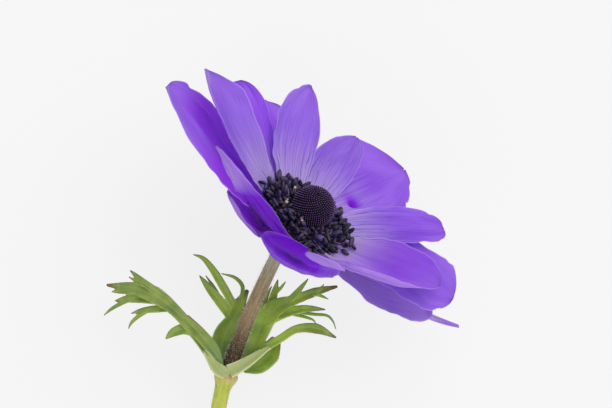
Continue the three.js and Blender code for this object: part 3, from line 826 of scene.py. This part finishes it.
def stem_paint():
    """Taupe that turns brown down to the bracts, a straw collar, then green; hairs are pale."""
    paint = Paint("stem", Roughness=0.5, Specular_IOR_Level=0.3, Sheen_Weight=0.2,
                  Sheen_Roughness=0.3, Subsurface_Weight=0.1, Subsurface_Scale=1.0 * MM)
    along, across, hair = paint.blade()
    streak = paint.noise(paint.spread(
        paint.math("MULTIPLY", along, 26.0), paint.math("MULTIPLY", across, 14.0)), 1.0, 3.0)
    speck = paint.noise(paint.place(), 1400.0, 2.0)
    high = paint.mix(paint.between(streak, 0.35, 0.7), rgb("A7A68A"), rgb("908A70"))
    taupe = paint.mix(paint.between(streak, 0.35, 0.7), rgb("A08A68"), rgb("846A48"))
    browner = paint.mix(paint.between(along, 0.03, 0.16), high, taupe)
    brown = paint.mix(paint.between(along, 0.18, 0.29), browner, rgb("362602"))
    green = paint.mix(paint.between(streak, 0.35, 0.7), rgb("BCC456"), rgb("A2AC40"))
    collared = paint.mix(paint.between(along, 0.322, 0.328), brown, rgb("C4AC78"))
    greened = paint.mix(paint.between(along, 0.336, 0.354), collared, green)
    freckled = paint.mix(paint.between(speck, 0.55, 0.75, 0.0, 0.25), greened, rgb("6B5A40"))
    return paint.finish(paint.mix(hair, freckled, rgb("E6E2D8")), streak, 0.15)


def add_stem():
    points, faces, marks = stem()
    dress(mesh_piece("stem.fine", points, faces, marks, stem_paint()), "stem")


# ---- Bracts ----------------------------------------------------------------------------------

# Midlines of the lobes from the stem's node; half is the half-width, one value or several.
BRACTS = {
    "bract_left": [
        ((1.3, 1.4, 1.3, 1.5, 2.2, 1.3, 0.3), [(-2.9, 0.6, -0.4), (-4.7, 4.5, 0.8), (-8.3, 9.2, 2.6),
         (-12.1, 13.6, 4.2), (-16.5, 16.9, 4.6), (-21.5, 18.6, 3.4), (-27.4, 19.3, 0.8)]),
        (1.0, [(-15, 17, 4.6), (-19, 19.8, 4.6), (-22.1, 22.7, 3.6)]),
        (0.5, [(-18, 18.8, 4.4), (-20.5, 20.1, 4.2), (-22.4, 21.2, 3.6)]),
        (0.9, [(-19.5, 18.3, 3.8), (-23.5, 18, 2.6), (-26.3, 17.8, 1.5)]),
        (1.3, [(-14, 15.6, 4.3), (-18.5, 16.3, 3.9), (-22.5, 16.2, 2.6), (-25.6, 15.7, 1.2)]),
        (0.5, [(-21.5, 16.2, 2.8), (-24, 15.2, 1.6), (-26.3, 13.9, 0), (-28.1, 12.4, -1.8)]),
        (0.9, [(-12.5, 14, 4), (-16, 13.9, 3.6), (-19.5, 13.5, 2.6), (-21.9, 12.9, 1.6)]),
        (0.5, [(-17.8, 13.6, 3), (-20, 12.4, 2), (-21.7, 10.9, 0.8), (-22.5, 9.4, -0.8)]),
        (1.3, [(-7.7, 8.6, 2.3), (-10, 9.3, 2.6), (-12.3, 8.6, 2.2), (-14.1, 7.1, 1.2)]),
    ],
    "bract_right": [
        ((1.4, 2.2, 2.9, 2.4, 1.2, 1.1, 0.3), [(3.2, 0.4, -1.4), (5.7, 5.6, -1.2), (7.7, 10.2, -0.4),
         (10.9, 14, 1.2), (15.5, 16, 2.4), (20.1, 17.8, 2.8), (24.8, 19, 2.2)]),
        (0.8, [(12, 14.3, 1.4), (14.7, 16.6, 2.4), (16.7, 18.9, 3), (18.2, 20.8, 3.2)]),
        (0.4, [(19.3, 17.4, 2.8), (20.8, 18.4, 3.2), (21.7, 19.5, 3.4)]),
        (0.4, [(19, 17.4, 2.7), (20.9, 16.9, 2.6), (22.8, 16.1, 2)]),
        (1.2, [(8.5, 10.6, 0.2), (13, 12.9, 1.6), (17.5, 13.9, 2.2), (22.1, 13.8, 1.8)]),
        (0.4, [(15, 13.2, 1.8), (19.5, 12.7, 1.2), (22.6, 12.3, 0.4), (23.8, 11, -0.4), (24.4, 9.3, -1.4)]),
        (0.4, [(14, 12.8, 1.5), (17.7, 12, 0.4), (19.5, 11.2, -0.6), (19.9, 10.1, -1.4)]),
        ((0.9, 1, 1, 1, 1.3, 0.2), [(3.3, 0.8, -1.4), (7.7, 4.5, 0.9), (12, 7.2, 2.6), (15.5, 9.3, 3.3),
         (20, 9.4, 3.1), (24.5, 7.4, 1.8)]),
        ((1.2, 2.8, 2.9, 1.2), [(3.4, 0.4, -1.5), (6.9, 1.5, -1.1), (9.1, 3.4, -0.6), (11.1, 7.2, -0.2)]),
        (1.1, [(8.1, 10.8, -0.2), (9.7, 14.5, 0.2), (10.6, 17.8, 0.2), (11.3, 20.6, -0.2)]),
        (0.4, [(10.6, 17.2, 0.2), (12.1, 18.8, 0.4), (13.1, 20.2, 0.4)]),
        (0.8, [(7.1, 9.8, -0.6), (7.9, 13.6, -1.1), (8.7, 16.6, -1.4), (9.9, 19.1, -1.4)]),
    ],
    "bract_back": [
        ((1.5, 2.5, 2.5, 1.7, 1.6, 0.4), [(-0.6, 1.2, -3.1), (-1.7, 5, -3.3), (-0.7, 8.8, -2.7),
         (1.5, 12.4, -2), (2.9, 15.6, -1.7), (4.5, 18.2, -2)]),
        (1.2, [(0.5, 12.2, -2), (-1.7, 15.4, -1.5), (-4.3, 18.7, -1.3), (-6.5, 21.5, -1.8)]),
        (0.5, [(-0.9, 14.4, -1.7), (-3.1, 18.6, -2.3), (-5.1, 21.5, -3)]),
        (1.0, [(1.5, 14.4, -1.8), (-1.1, 19, -0.6), (-3.7, 23.2, 0), (-5.7, 25.4, -0.4),
         (-7.9, 26.2, -1.6)]),
        (0.5, [(2.9, 16, -1.7), (3.3, 19, -0.8), (1.7, 20.9, -0.4), (-1.6, 21.9, -0.8)]),
    ],
}
BRACT_FACES = {
    "bract_left": (0.25, 0.15, 1), "bract_right": (-0.15, 0.25, 1), "bract_back": (0.1, -0.2, 1)}


def lobe(half, path, facing):
    """One lobe's blade, folded a little along its midrib, and its midline samples."""
    rows = 30
    line = spline(path, rows)
    steps = np.linspace(0, 1, rows)
    if isinstance(half, tuple):
        widths = np.interp(steps, np.linspace(0, 1, len(half)), half)
    else:
        widths = np.maximum(0.12, half * np.sin(math.pi * (0.25 + 0.75 * steps)) ** 0.7)
    frames = []
    for index in range(rows):
        ahead = Vector(line[min(index + 1, rows - 1)] - line[max(index - 1, 0)]).normalized()
        up = (facing - ahead * facing.dot(ahead)).normalized()
        turn = Matrix((ahead, up.cross(ahead), up)).transposed().to_4x4()
        frames.append((Matrix.Translation(line[index]) @ turn, steps[index]))
    across = np.linspace(-1, 1, 9)
    fold = np.radians(18) * np.tanh(across * 4)
    shape = (across * np.cos(fold), np.abs(across) * np.sin(np.abs(fold)), fold)
    made = blade(
        frames, across, lambda u: shape, lambda u, v: np.interp(u, steps, widths),
        lambda u, v: 0.62 - 0.2 * v ** 2)
    return made, line, widths


def melted(piece, voxel, rounds):
    """Melts a piece's crossing blades into one skin, and eases it."""
    melt = piece.modifiers.new("melt", "REMESH")
    melt.mode = "VOXEL"
    melt.voxel_size = voxel * MM
    ease = piece.modifiers.new("ease", "SMOOTH")
    ease.factor, ease.iterations = 0.5, rounds
    bpy.context.view_layer.update()
    shown = piece.evaluated_get(bpy.context.evaluated_depsgraph_get())
    mesh = bpy.data.meshes.new_from_object(shown)
    piece.modifiers.clear()
    piece.data = mesh
    return mesh


def bract_paint(name, light, dark):
    """Leaf green with a paler midrib and margin, a darker blue-green near the stem that is painted shade
    where the lobes meet it, and brown tips.

    The third of the blade values is how far out a point is, or -1 on the pale sheath.
    """
    paint = Paint(name, Roughness=0.48, Specular_IOR_Level=0.35, Subsurface_Weight=0.12,
                  Subsurface_Scale=0.8 * MM)
    along, across, out = paint.blade()
    mottle = paint.noise(paint.place(), 260.0, 3.0)
    fine = paint.noise(paint.place(), 1500.0, 2.0)
    streak = paint.strands(along, across, 1.2, 4.5, 0.0, 2.0)
    off = paint.math("ABSOLUTE", across)
    green = paint.mix(paint.between(mottle, 0.35, 0.68), rgb(light), rgb(dark))
    ribbed = paint.mix(paint.between(off, 0.0, 0.14, 0.3, 0.0), green, rgb("A8B768"))
    edged = paint.mix(paint.between(off, 0.78, 1.0, 0.0, 0.6), ribbed, rgb("BCC888"))
    # Darker blue-green near the stem: painted shade where the bracts meet it.
    near_stem_shade = paint.mix(paint.between(out, 3.0, 11.0, 0.6, 0.0), edged, rgb("5E8254"))
    lined = paint.mix(paint.between(streak, 0.45, 0.7, 0.0, 0.35), near_stem_shade, rgb("A6B868"))
    stain = paint.math("MULTIPLY", paint.between(off, 0.45, 0.9), paint.between(along, 0.5, 0.9))
    stained = paint.mix(paint.math("MULTIPLY", stain, 0.85), lined, rgb("76504A"))
    tipped = paint.mix(paint.between(along, 0.88, 1.0, 0.0, 0.9), stained, rgb("62403A"))
    pale = paint.mix(paint.between(off, 0.5, 1.0), rgb("A8B470"), rgb("CCD2A0"))
    sheath = paint.mix(paint.between(out, -0.8, -0.2), pale, tipped)
    return paint.finish(sheath, paint.math("ADD", mottle, fine), 0.12)


BRACT_GREENS = {
    "bract_left": ("879C42", "67823A"), "bract_right": ("98B63E", "7A9A30"),
    "bract_back": ("8EA83C", "6C8C2C")}
# What widens the bracts' bases round the stem, and the pale sheath's edges in front of it
BASES = {
    "bract_left": [
        ((1.0, 1.7, 1.6, 1.2), [(-1.8, 0.8, 1.4), (-3.2, 4.2, 1.4), (-6.6, 8.4, 2.6), (-9.8, 11.8, 3.5)])],
    "bract_right": [],
    "bract_back": [],
}
SHEATHS = {
    "bract_left": [
        ((1.1, 0.9, 0.7, 0.4), [(0.4, -1.0, 2.4), (-1.5, 0.5, 2.3), (-3.0, 2.0, 1.8), (-4.8, 4.0, 1.2)]),
        ((0.8, 1.3, 1.1, 0.6), [(-0.5, -1.5, 2.2), (-2.2, -0.2, 2.0), (-3.4, 1.4, 1.5), (-4.6, 3.2, 1.1)])],
    "bract_right": [
        ((1.8, 1.5, 1.1, 0.6), [(0.3, -0.4, 2.5), (2.3, 0.6, 2.4), (5.0, 2.2, 1.9), (9.2, 5.2, 1.9)])],
    "bract_back": [],
}


def blade_marks(points, made, facing, sheaths):
    """The blade values of each point of melted lobes, from the nearest place on their midlines."""
    facing = np.array(facing)
    nearest = np.full(len(points), np.inf)
    marks = np.zeros((len(points), 3))
    reach = np.linalg.norm(points, axis=1)
    for number, (_, line, widths) in enumerate(made):
        sheath = number >= len(made) - sheaths
        last = 0.9 if sheath or widths[-1] > 0.8 else 1.0
        for index, centre in enumerate(line):
            ahead = line[min(index + 1, len(line) - 1)] - line[max(index - 1, 0)]
            ahead = ahead / np.linalg.norm(ahead)
            side = np.cross(facing, ahead)
            side = side / np.linalg.norm(side)
            gap = points - centre
            lateral = gap @ side
            away = (gap @ ahead) ** 2 + lateral ** 2 / max(widths[index], 0.5)
            away = away + (gap @ facing) ** 2 * 0.5
            closer = away < nearest
            nearest[closer] = away[closer]
            marks[closer, 0] = last * index / (len(line) - 1)
            marks[closer, 1] = np.clip(lateral[closer] / widths[index], -1, 1)
            marks[closer, 2] = -1 if sheath else reach[closer]
    return marks


def add_bracts():
    node = Vector(stem_points(1001)[round(NODE_SHARE * 1000)])
    for name, lobes in BRACTS.items():
        facing = Vector(BRACT_FACES[name]).normalized()
        made = [lobe(half, path, facing) for half, path in lobes + BASES[name] + SHEATHS[name]]
        points, faces, _ = join([one for one, _, _ in made])
        piece = mesh_piece(f"{name}.fine", points, faces)
        mesh = melted(piece, voxel=0.17, rounds=5)
        flat = np.empty(len(mesh.vertices) * 3)
        mesh.vertices.foreach_get("co", flat)
        points = flat.reshape(-1, 3) / MM
        layer = mesh.attributes.new("blade", "FLOAT_VECTOR", "POINT")
        marks = blade_marks(points, made, facing, len(SHEATHS[name]))
        layer.data.foreach_set("vector", marks.astype(np.float32).ravel())
        mesh.vertices.foreach_set("co", ((points + np.array(node)) * MM).ravel())
        mesh.polygons.foreach_set("use_smooth", [True] * len(mesh.polygons))
        mesh.materials.clear()
        mesh.materials.append(bract_paint(name, *BRACT_GREENS[name]))
        mesh.update()
        dress(piece, name)


# ---- Stage -----------------------------------------------------------------------------------

def add_floor():
    half = 3.0
    corners = [(-half, -half, 0), (half, -half, 0), (half, half, 0), (-half, half, 0)]
    floor = mesh_piece("floor", np.array(corners) / MM, [(0, 1, 2, 3)])
    paint = Paint("floor", Roughness=0.9, Specular_IOR_Level=0.1, Base_Color=(0.10, 0.10, 0.10, 1),
                  Emission_Color=(1, 1, 1, 1), Emission_Strength=0.80)
    floor.data.materials.append(paint.material)


def add_light(name, place, size, watts, target=(0, 0, 0.03)):
    light = bpy.data.lights.new(name, "AREA")
    light.shape, light.size, light.energy = "DISK", size, watts
    lamp = bpy.data.objects.new(name, light)
    lamp.location = place
    lamp.rotation_euler = (Vector(target) - Vector(place)).to_track_quat("-Z", "Y").to_euler()
    bpy.context.collection.objects.link(lamp)


def add_stage():
    add_floor()
    add_light("key", (0.7, 0.9, 1.3), 1.6, 18)
    add_light("fill", (0.1, -1.1, 1.1), 1.6, 6)
    world = bpy.data.worlds.new("studio")
    bpy.context.scene.world = world
    world.use_nodes = True
    world.node_tree.nodes["Background"].inputs[0].default_value = (1, 1, 1, 1)
    world.node_tree.nodes["Background"].inputs[1].default_value = 0.72
    bpy.context.scene.view_settings.view_transform = "Standard"


def add_camera():
    """Unturned, so it looks straight down, from far away and up to the right of the base."""
    far, view_width, sharp_height = 4.0, 0.1377, 0.035
    camera = bpy.data.cameras.new("camera")
    camera.lens = camera.sensor_width * far / view_width
    camera.clip_end = 10
    seen = bpy.data.objects.new("camera", camera)
    seen.location = ((BASE.x + 2.7) * MM, (BASE.y + 5.85) * MM, far + sharp_height)
    bpy.context.collection.objects.link(seen)
    bpy.context.scene.camera = seen


add_tepals()
add_centre()
add_stem()
add_bracts()
add_stage()
add_camera()
